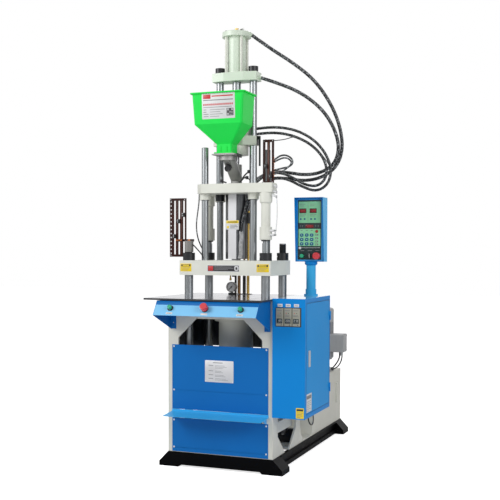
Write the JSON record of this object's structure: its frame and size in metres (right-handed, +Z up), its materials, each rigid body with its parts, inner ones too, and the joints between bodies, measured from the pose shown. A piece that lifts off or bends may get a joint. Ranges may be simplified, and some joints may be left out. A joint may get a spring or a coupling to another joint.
{
  "type": "vertical injection moulding machine",
  "caption": "Upright plastic injection moulding machine: hydraulic clamp below a steel table, barrel with hopper above, switch cabinet, swivel control panel and rear oil tank.",
  "frame": {"origin": "on the floor, at the centre of the rectangle of the four anchor holes", "axes": "+Z up, +X to the right as the operator faces the machine, +Y from the operator to the oil tank"},
  "size_m": [0.9414, 1.5902, 2.466],
  "materials": {
    "base_black": "gloss",
    "frame_paint": "satin",
    "plate_paint": "satin",
    "polished_steel": "polished",
    "cover_blue": "satin",
    "shelf_blue": "satin",
    "cabinet_blue": "satin",
    "panel_paint": "satin",
    "chrome": "hard chromed",
    "black_steel": "black oxide",
    "tool_steel": "ground",
    "guard_steel": "brushed",
    "brass": "plated",
    "casting": "as cast",
    "motor_grey": "satin",
    "dark_plastic": "matte",
    "green_plastic": "gloss",
    "red_plastic": "gloss",
    "hopper_green": "gloss",
    "board_brown": "bakelite",
    "hose_rubber": "spiral wrapped"
  },
  "bodies": {
    "frame": {"base_frame": "base_black", "body_frame": "frame_paint", "oil_tank": "frame_paint", "work_table": "polished_steel", "front_covers": "cover_blue", "front_shelf": "shelf_blue", "console": "shelf_blue", "cabinet_shell": "cabinet_blue", "temperature_controllers": "dark_plastic", "switchgear": "dark_plastic", "pendant_post": "cabinet_blue", "clamp_cylinder": "plate_paint", "tie_bar_bushes": "brass", "pressure_gauge": "tool_steel", "motor_housing": "motor_grey", "hydraulic_pump": "casting", "valve_block": "black_steel"},
    "cabinet_door": {"cabinet_door": "cabinet_blue"},
    "door_latch": {"door_latch": "chrome"},
    "pendant": {"pendant_box": "cabinet_blue", "pendant_panel": "panel_paint"},
    "pendant_start_button": {"pendant_start_button": "green_plastic"},
    "pendant_selector": {"pendant_selector": "dark_plastic"},
    "pendant_stop_button": {"pendant_stop_button": "red_plastic"},
    "left_start_button": {"left_start_button": "green_plastic"},
    "right_start_button": {"right_start_button": "green_plastic"},
    "console_stop_button": {"console_stop_button": "red_plastic"},
    "motor_rotor": {"motor_rotor": "tool_steel"},
    "gauge_needle": {"gauge_needle": "dark_plastic"},
    "clamp": {"crosshead": "plate_paint", "tie_bars": "chrome", "tie_bar_nuts": "black_steel", "moving_platen": "plate_paint", "guide_columns": "chrome", "left_switch_board": "board_brown", "clamp_pipes": "brass", "switch_cable": "hose_rubber"},
    "carriage": {"carriage_plate": "plate_paint", "carriage_cylinders": "plate_paint", "injection_rods": "chrome", "injector_fasteners": "black_steel", "top_plate": "plate_paint", "injection_cylinder": "plate_paint", "cylinder_cap": "plate_paint", "barrel": "tool_steel", "heater_bands": "guard_steel", "barrel_guard": "guard_steel", "feed_throat": "casting", "hopper": "hopper_green", "right_switch_board": "board_brown", "carriage_pipes": "brass", "hose_top": "hose_rubber", "hose_plate": "hose_rubber"},
    "hopper_gate": {"hopper_gate": "black_steel"},
    "injector": {"injection_plate": "plate_paint", "drive_motor": "black_steel", "piston_rod": "chrome", "hose_motor_a": "hose_rubber", "hose_motor_b": "hose_rubber"},
    "feed_screw": {"feed_screw": "tool_steel"}
  },
  "joints": [
    {"name": "clamp_slide", "type": "slide", "parent": "frame", "child": "clamp", "axis": [0, 0, 1], "range_m": [0, 0.15]},
    {"name": "carriage_slide", "type": "slide", "parent": "clamp", "child": "carriage", "axis": [0, 0, 1], "range_m": [0, 0.12]},
    {"name": "injector_slide", "type": "slide", "parent": "carriage", "child": "injector", "axis": [0, 0, 1], "range_m": [0, 0.1]},
    {"name": "screw_spin", "type": "hinge", "parent": "injector", "child": "feed_screw", "pos_m": [0, -0.434, 1.5], "axis": [0, 0, 1], "continuous": true},
    {"name": "hopper_gate_slide", "type": "slide", "parent": "carriage", "child": "hopper_gate", "axis": [1, 0, 0], "range_m": [0, 0.05]},
    {"name": "pendant_swivel", "type": "hinge", "parent": "frame", "child": "pendant", "pos_m": [0.399, -0.28, 1.14], "axis": [0, 0, 1], "range_deg": [-90, 90]},
    {"name": "pendant_start_button_push", "type": "slide", "parent": "pendant", "child": "pendant_start_button", "axis": [0, 1, 0], "range_m": [0, 0.004], "stiffness_N_per_m": 600, "springref_m": -0.003},
    {"name": "pendant_selector_turn", "type": "hinge", "parent": "pendant", "child": "pendant_selector", "pos_m": [0.399, -0.304, 1.184], "axis": [0, 1, 0], "range_deg": [-45, 45]},
    {"name": "pendant_stop_button_push", "type": "slide", "parent": "pendant", "child": "pendant_stop_button", "axis": [0, 1, 0], "range_m": [0, 0.006]},
    {"name": "left_start_button_push", "type": "slide", "parent": "frame", "child": "left_start_button", "axis": [0, 0.8354, -0.5496], "range_m": [0, 0.004], "stiffness_N_per_m": 600, "springref_m": -0.003},
    {"name": "right_start_button_push", "type": "slide", "parent": "frame", "child": "right_start_button", "axis": [0, 0.8354, -0.5496], "range_m": [0, 0.004], "stiffness_N_per_m": 600, "springref_m": -0.003},
    {"name": "console_stop_button_push", "type": "slide", "parent": "frame", "child": "console_stop_button", "axis": [0, 0.8354, -0.5496], "range_m": [0, 0.006]},
    {"name": "cabinet_door_hinge", "type": "hinge", "parent": "frame", "child": "cabinet_door", "pos_m": [0.5013, -0.236, 0.636], "axis": [0, 0, 1], "range_deg": [0, 110]},
    {"name": "door_latch_turn", "type": "hinge", "parent": "cabinet_door", "child": "door_latch", "pos_m": [0.497, -0.621, 0.635], "axis": [-1, 0, 0], "range_deg": [0, 90]},
    {"name": "motor_rotor_spin", "type": "hinge", "parent": "frame", "child": "motor_rotor", "pos_m": [0.205, 0.524, 0.6], "axis": [0, 0, 1], "continuous": true},
    {"name": "gauge_needle_turn", "type": "hinge", "parent": "frame", "child": "gauge_needle", "pos_m": [-0.098, -0.271, 0.997], "axis": [0, 1, 0], "range_deg": [0, 270], "stiffness_Nm_per_rad": 0.0005, "springref_deg": -28.65}
  ]
}
